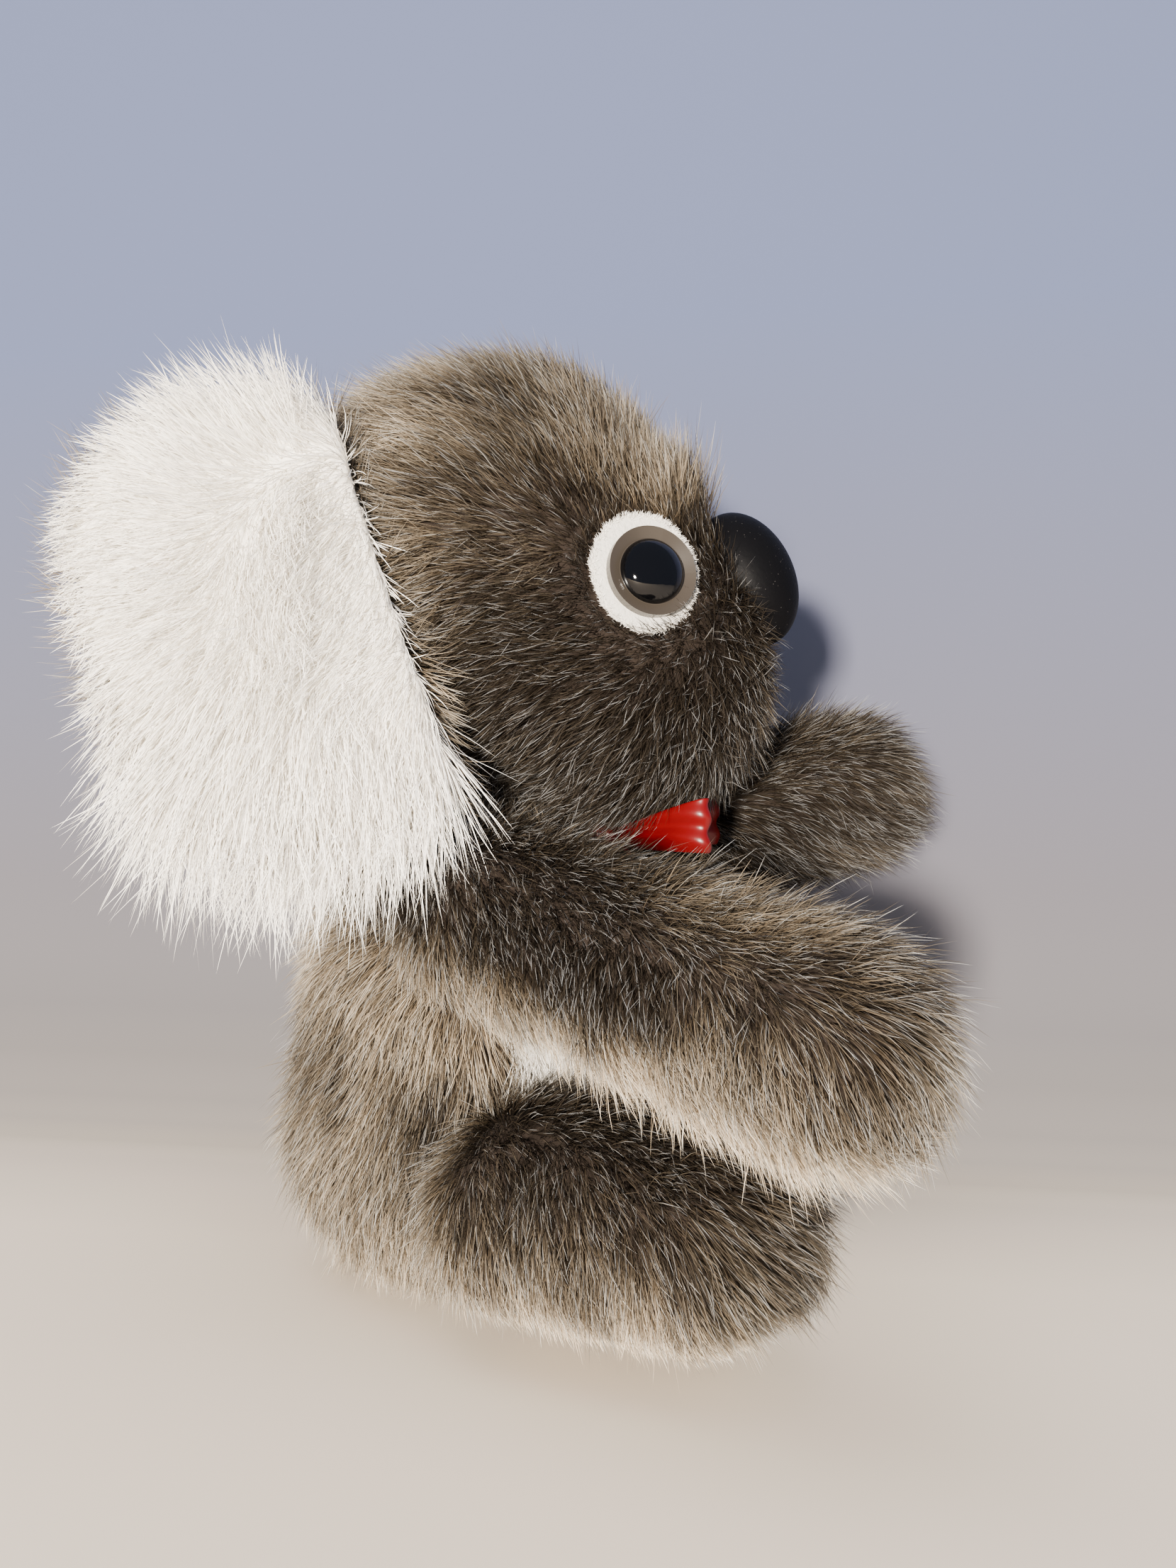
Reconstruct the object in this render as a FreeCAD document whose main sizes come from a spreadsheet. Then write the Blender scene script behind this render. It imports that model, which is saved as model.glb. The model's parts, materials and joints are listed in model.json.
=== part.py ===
import FreeCAD, Part
import math
import os

import Sketcher

# Plush koala, sitting, in millimetres. It faces -Y, its right side is -X, and the
# flat of its seat is on z = 0 with the origin under the middle of the body.

doc = FreeCAD.newDocument("koala")
sheet = doc.addObject("Spreadsheet::Sheet", "Sizes")

sizes = {
    "cover_wall": 1.2,  # fur fabric, backing and the roots of its pile
    "stuffing_gap": 0.15,
    "joint_gap": 0.4,  # between a limb's root and the body
    # torso: two spheres and the cone between them
    "torso_low_radius": 27.5,
    "torso_low_y": 4.0,
    "torso_low_z": 25.5,
    "torso_high_radius": 27.0,
    "torso_high_y": 1.5,
    "torso_high_z": 49.5,
    "side_flat": 18.0,  # half the width between the flats where limbs are sewn on
    "belly_half_width": 15.0,
    "belly_bottom": 14.0,
    "belly_top": 64.0,
    "panel_gap": 0.1,
    # neck
    "neck_y": -2.0,
    "neck_z": 84.0,
    "neck_ball_radius": 12.0,
    "neck_post_radius": 9.5,
    "neck_post_bottom": 62.0,
    "neck_clearance": 0.5,
    "neck_mouth": 12.6,  # radius of the opening in the head's cover
    # head: a large sphere for the skull and a smaller one for the muzzle
    "skull_radius": 33.5,
    "skull_y": 0.0,
    "skull_z": 118.0,
    "muzzle_radius": 25.5,
    "muzzle_y": -21.0,
    "muzzle_z": 103.0,
    # eyes
    "eye_forward": 21.6,  # where the eye sits on the muzzle's sphere, from straight sideways
    "eye_height": 24.9,
    "eye_proud": 0.2,
    "eye_turn": 28.0,  # which way the eye looks, from straight sideways
    "eye_rise": 9.0,
    "flange_radius": 7.0,
    "flange_edge": 0.9,
    "flange_lip": 0.7,
    "pupil_radius": 5.1,
    "pupil_fit": 0.1,  # between the pupil and the flange's lip
    "pupil_lift": 0.02,
    "pupil_dome": 2.6,
    "stem_radius": 2.2,
    "stem_length": 11.0,
    "hole_gap": 0.05,  # round a stem, in the cover and the felt
    "washer_gap": 0.02,
    "felt_thick": 1.0,
    "felt_wide": 8.6,
    "felt_tall": 9.4,
    "felt_shift": 1.2,  # towards the back of the head
    "washer_radius": 4.1,
    "washer_thick": 1.4,
    "seat_radius": 10.2,  # flat spot on the head under the felt
    "seat_cut": 20.0,  # height of what is pressed flat there
    # nose
    "nose_lean": 24.0,
    "nose_sink": 1.3,  # how far its back sits inside the muzzle's sphere
    "nose_up": 3.0,
    "nose_tall": 11.8,
    "nose_wide": 8.4,
    "nose_dome": 8.2,
    "nose_base": 2.2,
    "nose_seat": 12.6,
    # limbs: a tapered capsule each, cut flat at the root
    "arm_root_radius": 10.8,
    "arm_tip_radius": 12.0,
    "arm_length": 60.0,
    "arm_room_low": 43.0,  # how low the arms swing beside the chest
    "shoulder_offset": 26.0,
    "shoulder_y": -4.0,
    "shoulder_z": 63.5,
    "right_arm_drop": 14.0,
    "right_arm_splay": 29.0,
    "left_arm_lift": 17.0,
    "left_arm_splay": 5.0,
    "leg_root_radius": 15.0,
    "leg_tip_radius": 14.8,
    "leg_length": 24.0,
    "hip_offset": 29.0,
    "hip_y": -15.0,
    "hip_z": 19.5,
    "leg_splay": 15.0,
    # ears
    "ear_sheet": 1.7,  # thickness of each of an ear's two fabrics
    "ear_seam_gap": 0.05,
    "ear_gap": 2.9,  # between the head's side and the ear's seam
    "ear_top_y": 15.0,
    "ear_top_z": 134.0,
    "ear_low_y": -2.0,
    "ear_low_z": 84.0,
    "ear_flare": 18.0,
    "ear_width": 40.0,
    "ear_droop": 9.0,  # how far the round top and bottom reach past the seam's ends
    # ribbon
    "ribbon_thick": 0.5,
    "ribbon_gap": 0.25,
    "ribbon_high": 29.0,  # degrees from the vertical, on the body's upper sphere
    "ribbon_low": 40.5,
    "knot_slope": 43.0,
    "knot_gap": 0.25,
    "knot_radius": 3.4,
    "loop_length": 20.0,
    "loop_tall": 8.4,
    "loop_deep": 4.0,
    "tail_length": 17.0,
    "tail_width": 7.0,
    "tail_thick": 0.6,
    "tail_fan": 24.0,
    "tail_tilt": 15.0,
    "tail_spread": 3.85,  # from the middle to each tail's own middle
    "loop_forward": 52.0,
    "loop_rise": 7.0,
    # closing stitches down the middle of the back
    "stitch_count": 9,
    "stitch_pitch": 4.2,
    "stitch_start": 22.0,
    "stitch_length": 2.6,
    "thread_radius": 0.35,
    "thread_gap": 0.15,  # off the fabric that it closes
}
for row, (alias, value) in enumerate(sizes.items(), start=1):
    sheet.set(f"A{row}", alias)
    sheet.set(f"B{row}", str(value))
    sheet.setAlias(f"B{row}", alias)
doc.recompute()

vec = FreeCAD.Vector
turn = FreeCAD.Rotation
place = FreeCAD.Placement
xAxis, yAxis, zAxis = vec(1, 0, 0), vec(0, 1, 0), vec(0, 0, 1)
finished = []


def size(alias):
    return float(sheet.get(alias))


def expression(formula):
    """A formula whose bare words are the sheet's sizes, as the document writes it."""
    words = "".join(c if c.isalnum() or c in "_." else f" {c} " for c in formula).split()
    return " ".join(f"Sizes.{w}" if w in sizes else w for w in words)


def bind(obj, **formulas):
    """Ties properties of an object to the sheet."""
    for prop, formula in formulas.items():
        obj.setExpression(prop, expression(formula))
    return obj


def add(kind, name, at=None, **formulas):
    obj = doc.addObject(kind, name)
    if at is not None:
        obj.Placement = at
    return bind(obj, **formulas)


def combine(kind, name, *shapes):
    """A cut or common of two objects, or a fuse of any number."""
    obj = doc.addObject(kind, name)
    if kind == "Part::MultiFuse":
        obj.Shapes = list(shapes)
    else:
        obj.Base, obj.Tool = shapes
    return obj


def cut(name, base, *tools):
    tool = tools[0] if len(tools) == 1 else combine("Part::MultiFuse", f"{name}_tools", *tools)
    return combine("Part::Cut", name, base, tool)


def finish(obj, label):
    obj.Label = label
    finished.append(obj)
    return obj


def rolePlane(body, role):
    return next(f for f in body.Origin.OriginFeatures if f.Role == role)


def newSketch(body, role="XY_Plane"):
    sketch = body.newObject("Sketcher::SketchObject", f"{body.Name}_sketch")
    sketch.AttachmentSupport = [(rolePlane(body, role), "")]
    sketch.MapMode = "FlatFace"
    return sketch


def newBody(name, at=None):
    body = doc.addObject("PartDesign::Body", name)
    if at is not None:
        body.Placement = at
    return body


def hold(sketch, kind, formula, *where):
    """One driving constraint whose value is a formula of the sheet's sizes."""
    index = sketch.addConstraint(Sketcher.Constraint(kind, *where, sheetValue(formula)))
    sketch.setExpression(f"Constraints[{index}]", expression(formula))


def revolve(body, sketch):
    feature = body.newObject("PartDesign::Revolution", f"{body.Name}_turn")
    feature.Profile = sketch
    feature.ReferenceAxis = (sketch, ["V_Axis"])
    feature.Angle = 360.0
    body.Tip = feature
    return body


def capsule(name, startRadius, endRadius, length, at):
    """Two balls and the cone that touches both: the body's Z runs from the first to the second."""
    body = newBody(name, at)
    sketch = newSketch(body, "XZ_Plane")
    value = {k: sheetValue(f) for k, f in (("a", startRadius), ("b", endRadius), ("l", length))}
    a, b, l = value["a"], value["b"], value["l"]
    lean = math.asin((a - b) / l)
    startPoint = vec(a * math.cos(lean), a * math.sin(lean), 0)
    endPoint = vec(b * math.cos(lean), l + b * math.sin(lean), 0)
    low = sketch.addGeometry(Part.ArcOfCircle(Part.Circle(vec(0, 0, 0), zAxis, a), -math.pi / 2, lean))
    side = sketch.addGeometry(Part.LineSegment(startPoint, endPoint))
    high = sketch.addGeometry(Part.ArcOfCircle(Part.Circle(vec(0, l, 0), zAxis, b), lean, math.pi / 2))
    spine = sketch.addGeometry(Part.LineSegment(vec(0, l + b, 0), vec(0, -a, 0)))
    sketch.addConstraint([
        Sketcher.Constraint("Coincident", low, 3, -1, 1),
        Sketcher.Constraint("PointOnObject", high, 3, -2),
        Sketcher.Constraint("PointOnObject", low, 1, -2),
        Sketcher.Constraint("PointOnObject", high, 2, -2),
        Sketcher.Constraint("Tangent", low, 2, side, 1),
        Sketcher.Constraint("Tangent", side, 2, high, 1),
        Sketcher.Constraint("Coincident", spine, 1, high, 2),
        Sketcher.Constraint("Coincident", spine, 2, low, 1),
    ])
    hold(sketch, "Radius", startRadius, low)
    hold(sketch, "Radius", endRadius, high)
    hold(sketch, "DistanceY", length, -1, 1, high, 3)
    return revolve(body, sketch)


def sheetValue(formula):
    """The number that a formula of the sheet's sizes gives."""
    probe = doc.getObject("Probe") or doc.addObject("App::FeaturePython", "Probe")
    if "Result" not in probe.PropertiesList:
        probe.addProperty("App::PropertyFloat", "Result")
    bind(probe, Result=formula)
    probe.recompute()
    return probe.Result


def between(start, end):
    """A placement at start whose Z points to end."""
    return place(start, turn(zAxis, end - start))


def block(name, low, high):
    """A box from its lowest corner to its highest."""
    box = doc.addObject("Part::Box", name)
    box.Placement = place(low, turn())
    box.Length, box.Width, box.Height = high - low
    return box


# ---- sides: the right is -X, the left is +X
sides = {"right": -1, "left": 1}

neckPoint = vec(0, size("neck_y"), size("neck_z"))
skullPoint = vec(0, size("skull_y"), size("skull_z"))
muzzlePoint = vec(0, size("muzzle_y"), size("muzzle_z"))
lowPoint = vec(0, size("torso_low_y"), size("torso_low_z"))
highPoint = vec(0, size("torso_high_y"), size("torso_high_z"))
headLength = (muzzlePoint - skullPoint).Length
torsoLength = (highPoint - lowPoint).Length
roomy = 80.0  # reach of the blocks and discs that only cut


def shoulder(side):
    return vec(sides[side] * size("shoulder_offset"), size("shoulder_y"), size("shoulder_z"))


def hip(side):
    return vec(sides[side] * size("hip_offset"), size("hip_y"), size("hip_z"))


def heading(side, lift, splay):
    """Unit direction of a limb: lift above level, splay out from straight ahead, in degrees."""
    up, out = math.radians(lift), math.radians(splay)
    ahead = math.cos(out)
    return vec(sides[side] * math.sin(out), -ahead * math.cos(up), ahead * math.sin(up))


def sideways(side, forward, rise):
    """Unit direction out of a side, turned forward and up by these degrees."""
    yaw, up = math.radians(forward), math.radians(rise)
    return vec(sides[side] * math.cos(up) * math.cos(yaw), -math.cos(up) * math.sin(yaw), math.sin(up))


def eyePlace(side):
    """Eye frame: Z looks out of the eye, Y is up along the head, origin on the felt's back."""
    out = sideways(side, size("eye_turn"), size("eye_rise"))
    up = zAxis - out * zAxis.dot(out)
    up.normalize()
    spot = sideways(side, size("eye_forward"), size("eye_height"))
    at = muzzlePoint + spot * (size("muzzle_radius") + size("eye_proud"))
    return place(at, turn(up.cross(out), up, out, "ZYX"))


def nosePlace():
    """Nose frame: Z looks out of the nose, Y is up its face, origin on its back."""
    lean = math.radians(size("nose_lean"))
    out = vec(0, -math.cos(lean), math.sin(lean))
    up = vec(0, math.sin(lean), math.cos(lean))
    at = muzzlePoint + out * (size("muzzle_radius") - size("nose_sink")) + up * size("nose_up")
    return place(at, turn(up.cross(out), up, out, "ZYX"))


def disc(name, at, radius, low, high):
    """A cylinder about the placement's Z; its radius and both its levels are formulas."""
    shifted = at.multiply(place(vec(0, 0, sheetValue(low)), turn()))
    return add("Part::Cylinder", name, shifted, Radius=radius, Height=f"{high} - ({low})")


def headForm(name, inset):
    """The head's outside, moved in by inset, with flat seats under the eyes and the nose."""
    base = capsule(f"{name}_skin", f"skull_radius - ({inset})", f"muzzle_radius - ({inset})",
                   str(headLength), between(skullPoint, muzzlePoint))
    seats = [(f"{side}_eye", eyePlace(side), "seat_radius") for side in sides]
    seats.append(("nose", nosePlace(), "nose_seat"))
    tools = [disc(f"{name}_{key}_seat", at, f"{radius} + {inset}", f"0 - ({inset})", "seat_cut")
             for key, at, radius in seats]
    return cut(name, base, *tools)


def torsoForm(name, inset):
    """The body's outside, moved in by inset, with its flat seat and its places for the limbs."""
    base = capsule(f"{name}_skin", f"torso_low_radius - ({inset})", f"torso_high_radius - ({inset})",
                   str(torsoLength), between(lowPoint, highPoint))
    depth = sheetValue(inset)
    tools = [block(f"{name}_floor", vec(-roomy, -roomy, -roomy), vec(roomy, roomy, depth))]
    for side, sign in sides.items():
        tools.append(add("Part::Sphere", f"{name}_{side}_hip", place(hip(side), turn()),
                         Radius=f"leg_root_radius + joint_gap + {inset}"))
        flat = size("side_flat") - depth
        near, far = sorted((sign * flat, sign * roomy))
        tools.append(block(f"{name}_{side}_front", vec(near, -roomy, -roomy),
                           vec(far, size("hip_y") + depth, roomy)))
        tools.append(block(f"{name}_{side}_arm_room", vec(near, -roomy, size("arm_room_low") - depth),
                           vec(far, size("shoulder_y") + depth, roomy)))
        axle = place(vec(sign * flat, size("shoulder_y"), size("shoulder_z")), turn(zAxis, xAxis * sign))
        tools.append(disc(f"{name}_{side}_shoulder", axle, f"arm_tip_radius + joint_gap + {inset}",
                          "0", str(roomy)))
    return cut(name, base, *tools)


# ---- insets of a bag's surfaces: outside, inside of its fabric, and its filling
skinIn, wallIn, coreIn = "0", "cover_wall", "cover_wall + stuffing_gap"


# ---- head
def stemHoles(name, radius):
    """Round holes through the head's cover for the stems of the eyes and the nose."""
    frames = [(side, eyePlace(side)) for side in sides] + [("nose", nosePlace())]
    return [disc(f"{name}_{key}_stem", at, radius, "0 - stem_length - 1", "1") for key, at in frames]


def washerRooms(name):
    """Space in the stuffing for each stem and the washer on it."""
    low = "0 - cover_wall - washer_thick - 2 * stuffing_gap"
    frames = [(side, eyePlace(side)) for side in sides] + [("nose", nosePlace())]
    return [disc(f"{name}_{key}_room", at, "washer_radius + stuffing_gap", low, "0") for key, at in frames]


def neckSocket(name):
    """The hollow in the head that the neck's ball turns in, and its mouth."""
    at = place(neckPoint, turn())
    socket = add("Part::Sphere", f"{name}_socket", at, Radius="neck_ball_radius + neck_clearance")
    return socket, disc(f"{name}_mouth", at, "neck_mouth", "neck_post_bottom - neck_z", "0")


def neckWell(name):
    """The hole in the body that the neck's post stands in."""
    well = place(vec(0, size("neck_y"), size("neck_post_bottom")), turn())
    return disc(name, well, "neck_post_radius + neck_clearance", "0 - neck_clearance", str(roomy))


headOuter = headForm("head_outer", skinIn)
headInner = headForm("head_inner", wallIn)
finish(cut("head_shell", headOuter, headInner, *stemHoles("head_shell", "stem_radius + hole_gap"),
           *neckSocket("head_shell")), "head_cover")
finish(cut("head_filling", headForm("head_core", coreIn), *washerRooms("head_filling"),
           *stemHoles("head_filling", "stem_radius + stuffing_gap"),
           *neckSocket("head_filling")), "head_stuffing")


# ---- eyes and nose
def ringBody(name, at, profile):
    """A turned piece: the profile's points are (radius, height) formulas, joined in order."""
    body = newBody(name, at)
    sketch = newSketch(body, "XZ_Plane")
    spots = [(sheetValue(r), sheetValue(h)) for r, h in profile]
    lines = []
    for index, spot in enumerate(spots):
        following = spots[(index + 1) % len(spots)]
        lines.append(sketch.addGeometry(Part.LineSegment(vec(*spot, 0), vec(*following, 0))))
    for index, (radius, level) in enumerate(profile):
        sketch.addConstraint(Sketcher.Constraint("Coincident", lines[index - 1], 2, lines[index], 1))
        if spots[index][0] == 0:
            sketch.addConstraint(Sketcher.Constraint("PointOnObject", lines[index], 1, -2))
        else:
            hold(sketch, "DistanceX", radius, -1, 1, lines[index], 1)
        if spots[index][1] == 0:
            sketch.addConstraint(Sketcher.Constraint("PointOnObject", lines[index], 1, -1))
        else:
            hold(sketch, "DistanceY", level, -1, 1, lines[index], 1)
    return revolve(body, sketch)


washerProfile = [
    ("stem_radius + washer_gap", "0 - cover_wall - washer_thick - hole_gap"),
    ("washer_radius", "0 - cover_wall - washer_thick - hole_gap"),
    ("washer_radius", "0 - cover_wall - hole_gap"),
    ("stem_radius + washer_gap", "0 - cover_wall - hole_gap"),
]
for side, sign in sides.items():
    at = eyePlace(side)
    flange = ringBody(f"{side}_flange", at, [
        ("0", "0 - stem_length"),
        ("stem_radius", "0 - stem_length"),
        ("stem_radius", "felt_thick"),
        ("flange_radius", "felt_thick"),
        ("flange_radius", "felt_thick + flange_edge + flange_lip"),
        ("pupil_radius + pupil_fit", "felt_thick + flange_edge"),
        ("0", "felt_thick + flange_edge"),
    ])
    finish(flange, f"{side}_eye_flange")
    pupilLow = sheetValue("felt_thick + flange_edge + pupil_lift")
    pupil = add("Part::Ellipsoid", f"{side}_pupil", at.multiply(place(vec(0, 0, pupilLow), turn())),
                Radius1="pupil_dome", Radius2="pupil_radius", Radius3="pupil_radius", Angle1="0")
    finish(pupil, f"{side}_eye_pupil")
    felt = newBody(f"{side}_felt", at)
    sketch = newSketch(felt)
    shift = sign * size("felt_shift")
    sketch.addGeometry(Part.Ellipse(vec(shift, size("felt_tall"), 0), vec(shift - size("felt_wide"), 0, 0),
                                    vec(shift, 0, 0)))
    hole = sketch.addGeometry(Part.Circle(vec(0, 0, 0), zAxis, sheetValue("stem_radius + hole_gap")))
    sketch.addConstraint(Sketcher.Constraint("Coincident", hole, 3, -1, 1))
    hold(sketch, "Radius", "stem_radius + hole_gap", hole)
    pad = felt.newObject("PartDesign::Pad", f"{side}_felt_pad")
    pad.Profile = sketch
    bind(pad, Length="felt_thick")
    felt.Tip = pad
    finish(felt, f"{side}_eye_felt")
    finish(ringBody(f"{side}_washer", at, washerProfile), f"{side}_eye_washer")

noseAt = nosePlace()
noseDome = add("Part::Ellipsoid", "nose_dome", noseAt.multiply(place(vec(0, 0, size("nose_base")), turn())),
               Radius1="nose_dome", Radius2="nose_wide", Radius3="nose_tall", Angle1="0")
noseFoot = newBody("nose_foot", noseAt)
footSketch = newSketch(noseFoot)
footEdge = Part.Ellipse(vec(0, size("nose_tall"), 0), vec(-size("nose_wide"), 0, 0), vec(0, 0, 0))
footSketch.addGeometry(footEdge)
footPad = noseFoot.newObject("PartDesign::Pad", "nose_foot_pad")
footPad.Profile = footSketch
bind(footPad, Length="nose_base")
noseFoot.Tip = footPad
noseStem = disc("nose_stem", noseAt, "stem_radius", "0 - stem_length", "0")
finish(combine("Part::MultiFuse", "nose_moulding", noseDome, noseFoot, noseStem), "nose")
finish(ringBody("nose_washer_ring", noseAt, washerProfile), "nose_washer")


# ---- body: a fur cover with a white panel let into its front, round one filling
def bellyZone(name, grow):
    half = size("belly_half_width") + grow
    low, high = size("belly_bottom") - grow, size("belly_top") + grow
    behind = size("neck_y") - size("neck_post_radius") - 2 * size("cover_wall")
    return block(name, vec(-half, -roomy, low), vec(half, behind, high))


torsoShell = cut("torso_shell", torsoForm("torso_outer", skinIn), torsoForm("torso_inner", wallIn))
finish(cut("torso_back", torsoShell, bellyZone("belly_hole", size("panel_gap")), neckWell("torso_mouth")),
       "torso_cover")
finish(combine("Part::Common", "panel", torsoShell, bellyZone("belly_zone", 0)), "belly_panel")
finish(cut("torso_filling", torsoForm("torso_core", coreIn), neckWell("torso_well")), "torso_stuffing")


# ---- neck: a stuffed plug, ball above and post below
ballPart = add("Part::Sphere", "neck_ball", place(neckPoint, turn()), Radius="neck_ball_radius")
postBase = vec(0, size("neck_y"), size("neck_post_bottom"))
postPart = add("Part::Cylinder", "neck_post", place(postBase, turn()),
               Radius="neck_post_radius", Height="neck_z - neck_post_bottom")
finish(combine("Part::MultiFuse", "neck_plug_form", ballPart, postPart), "neck_plug")


# ---- limbs
def limbForm(name, side, kind, joint, direction, inset):
    """A limb's outside, moved in by inset, cut flat where it is sewn to the body."""
    body = capsule(f"{name}_skin", f"{kind}_root_radius - ({inset})", f"{kind}_tip_radius - ({inset})",
                   f"{kind}_length", between(joint, joint + direction))
    sign = sides[side]
    flat = sign * sheetValue(f"side_flat + joint_gap + {inset}")
    near, far = sorted((flat, -sign * roomy))
    return cut(name, body, block(f"{name}_root", vec(near, -2 * roomy, -roomy), vec(far, roomy, 2 * roomy)))


directions = {
    ("right", "arm"): heading("right", -size("right_arm_drop"), size("right_arm_splay")),
    ("left", "arm"): heading("left", size("left_arm_lift"), size("left_arm_splay")),
    ("right", "leg"): heading("right", 0, size("leg_splay")),
    ("left", "leg"): heading("left", 0, size("leg_splay")),
}
for (side, kind), direction in directions.items():
    joint = shoulder(side) if kind == "arm" else hip(side)
    key = f"{side}_{kind}"
    outer = limbForm(f"{key}_outer", side, kind, joint, direction, skinIn)
    inner = limbForm(f"{key}_inner", side, kind, joint, direction, wallIn)
    finish(cut(f"{key}_shell", outer, inner), f"{key}_cover")
    finish(limbForm(f"{key}_filling", side, kind, joint, direction, coreIn), f"{key}_stuffing")


# ---- ears: two fabrics sewn together round the edge, hung on the side of the head
def earPlace(side):
    """Ear frame: Y runs up the seam, X out across the ear and Z out of its white face."""
    sign = sides[side]
    seam = sign * (size("skull_radius") + size("ear_gap"))
    low = vec(seam, size("ear_low_y"), size("ear_low_z"))
    high = vec(seam, size("ear_top_y"), size("ear_top_z"))
    up = high - low
    up.normalize()
    flare = math.radians(size("ear_flare"))
    across = vec(sign * math.sin(flare), math.cos(flare), 0)
    across = across - up * across.dot(up)
    across.normalize()
    face = across.cross(up)
    return place(low, turn(across, up, face, "ZYX")), (high - low).Length


def earLayer(name, at, length, low):
    """One of the ear's fabrics: straight along the seam, with a round outline through these points."""
    body = newBody(name, at.multiply(place(vec(0, 0, low), turn())))
    sketch = newSketch(body)
    width, droop = size("ear_width"), size("ear_droop")
    corners = [vec(0, 0, 0), vec(width * 0.45, -droop * 0.35, 0), vec(width * 0.86, droop * 0.55, 0),
               vec(width, length * 0.5, 0), vec(width * 0.84, length + droop * 0.1, 0),
               vec(width * 0.42, length + droop * 0.75, 0), vec(0, length, 0)]
    curve = Part.BSplineCurve()
    curve.interpolate(corners)
    sketch.addGeometry(curve)
    sketch.addGeometry(Part.LineSegment(corners[-1], corners[0]))
    sketch.addConstraint(Sketcher.Constraint("Coincident", 0, 2, 1, 1))
    sketch.addConstraint(Sketcher.Constraint("Coincident", 1, 2, 0, 1))
    pad = body.newObject("PartDesign::Pad", f"{name}_pad")
    pad.Profile = sketch
    bind(pad, Length="ear_sheet")
    body.Tip = pad
    return body


for side in sides:
    at, length = earPlace(side)
    above, below = size("ear_seam_gap") / 2, -size("ear_seam_gap") / 2 - size("ear_sheet")
    facesOut = at.Rotation.multVec(zAxis).x * sides[side] > 0
    front, back = (above, below) if facesOut else (below, above)
    finish(earLayer(f"{side}_ear_white", at, length, front), f"{side}_ear_front")
    finish(earLayer(f"{side}_ear_fur", at, length, back), f"{side}_ear_back")


# ---- ribbon: a band round the neck, a knot, two loops and two tails
bandBody = newBody("band", place(highPoint, turn()))
bandSketch = newSketch(bandBody, "XZ_Plane")
bandIn = size("torso_high_radius") + size("ribbon_gap")
bandOut = bandIn + size("ribbon_thick")
bandHigh, bandLow = (math.radians(90 - size(k)) for k in ("ribbon_high", "ribbon_low"))
arcIn = Part.ArcOfCircle(Part.Circle(vec(0, 0, 0), zAxis, bandIn), bandLow, bandHigh)
arcOut = Part.ArcOfCircle(Part.Circle(vec(0, 0, 0), zAxis, bandOut), bandLow, bandHigh)
inner = bandSketch.addGeometry(arcIn)
outer = bandSketch.addGeometry(arcOut)
topEdge = bandSketch.addGeometry(Part.LineSegment(arcIn.EndPoint, arcOut.EndPoint))
lowEdge = bandSketch.addGeometry(Part.LineSegment(arcOut.StartPoint, arcIn.StartPoint))
bandSketch.addConstraint([
    Sketcher.Constraint("Coincident", inner, 3, -1, 1),
    Sketcher.Constraint("Coincident", outer, 3, -1, 1),
    Sketcher.Constraint("Coincident", topEdge, 1, inner, 2),
    Sketcher.Constraint("Coincident", topEdge, 2, outer, 2),
    Sketcher.Constraint("Coincident", lowEdge, 1, outer, 1),
    Sketcher.Constraint("Coincident", lowEdge, 2, inner, 1),
])
hold(bandSketch, "Radius", "torso_high_radius + ribbon_gap", inner)
hold(bandSketch, "Radius", "torso_high_radius + ribbon_gap + ribbon_thick", outer)
for edge, alias in ((topEdge, "ribbon_high"), (lowEdge, "ribbon_low")):
    ray = math.radians(90 - size(alias)) + (math.pi if edge == lowEdge else 0)
    bandSketch.addConstraint(Sketcher.Constraint("Angle", edge, ray))
finish(revolve(bandBody, bandSketch), "neck_ribbon")

slope = math.radians(size("knot_slope"))
knotOut = bandOut + size("knot_gap") + size("knot_radius")
knotPoint = highPoint + vec(0, -math.sin(slope), math.cos(slope)) * knotOut
knot = add("Part::Sphere", "knot", place(knotPoint, turn()), Radius="knot_radius")
finish(knot, "bow_knot")
for side, sign in sides.items():
    ahead, rise = math.radians(size("loop_forward")), math.radians(size("loop_rise"))
    level = math.cos(rise)
    reach = vec(sign * level * math.cos(ahead), -level * math.sin(ahead), math.sin(rise))
    centre = knotPoint + reach * (size("knot_radius") + size("knot_gap") + size("loop_length") / 2)
    flat = reach.cross(zAxis)
    flat.normalize()
    frame = place(centre, turn(reach, flat, reach.cross(flat), "XYZ"))
    outer = add("Part::Ellipsoid", f"{side}_loop_outer", frame,
                Radius1="loop_tall / 2", Radius2="loop_length / 2", Radius3="loop_deep / 2")
    inner = add("Part::Ellipsoid", f"{side}_loop_inner", frame,
                Radius1="loop_tall", Radius2="loop_length / 2 - ribbon_thick",
                Radius3="loop_deep / 2 - ribbon_thick")
    finish(cut(f"{side}_loop", outer, inner), f"{side}_bow_loop")
    hang = turn(xAxis, -size("tail_tilt")).multiply(turn(yAxis, -sign * size("tail_fan")))
    tailTop = knotPoint + vec(sign * size("tail_spread"), -size("knot_radius"), -size("knot_radius"))
    corner = place(vec(-size("tail_width") / 2, -size("tail_thick"), -size("tail_length")), turn())
    tail = add("Part::Box", f"{side}_tail", place(tailTop, hang).multiply(corner),
               Length="tail_width", Width="tail_thick", Height="tail_length")
    finish(tail, f"{side}_bow_tail")


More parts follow.
